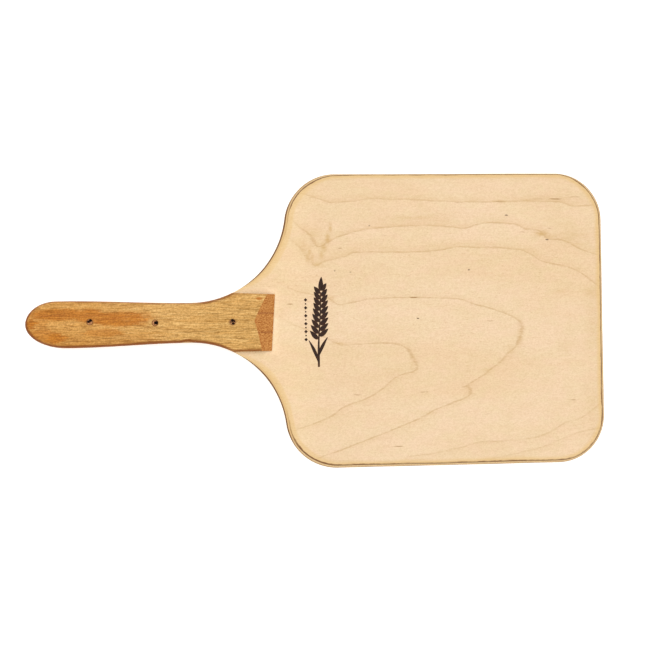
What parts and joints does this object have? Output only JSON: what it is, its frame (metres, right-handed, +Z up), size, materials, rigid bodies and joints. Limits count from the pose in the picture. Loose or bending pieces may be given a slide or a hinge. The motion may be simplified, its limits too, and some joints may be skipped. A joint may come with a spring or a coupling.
{
  "type": "pizza peel",
  "caption": "Wooden peel: a thin plywood blade with rounded corners narrows to a tang, held between two crowned hardwood handle scales by flat-head screws.",
  "frame": {"origin": "bottom centre of the bounding box, on the surface that the peel rests on", "axes": "+X from the handle's butt to the blade's front edge, +Y across the blade, +Z up from the surface that it rests on"},
  "size_m": [0.5986, 0.3048, 0.0372],
  "materials": {
    "maple_veneer": "sanded, thin matt oil",
    "crossband_veneer": "sanded edge",
    "core_veneer": "sanded edge",
    "handle_hardwood": "open-grained, oiled satin",
    "screw_steel": "satin steel"
  },
  "bodies": {
    "root": {"face_veneer": "maple_veneer", "upper_crossband": "crossband_veneer", "core_ply": "core_veneer", "lower_crossband": "crossband_veneer", "back_veneer": "maple_veneer", "handle_upper_scale": "handle_hardwood", "handle_lower_scale": "handle_hardwood", "screw_butt": "screw_steel", "screw_middle": "screw_steel", "screw_front": "screw_steel"}
  },
  "joints": []
}
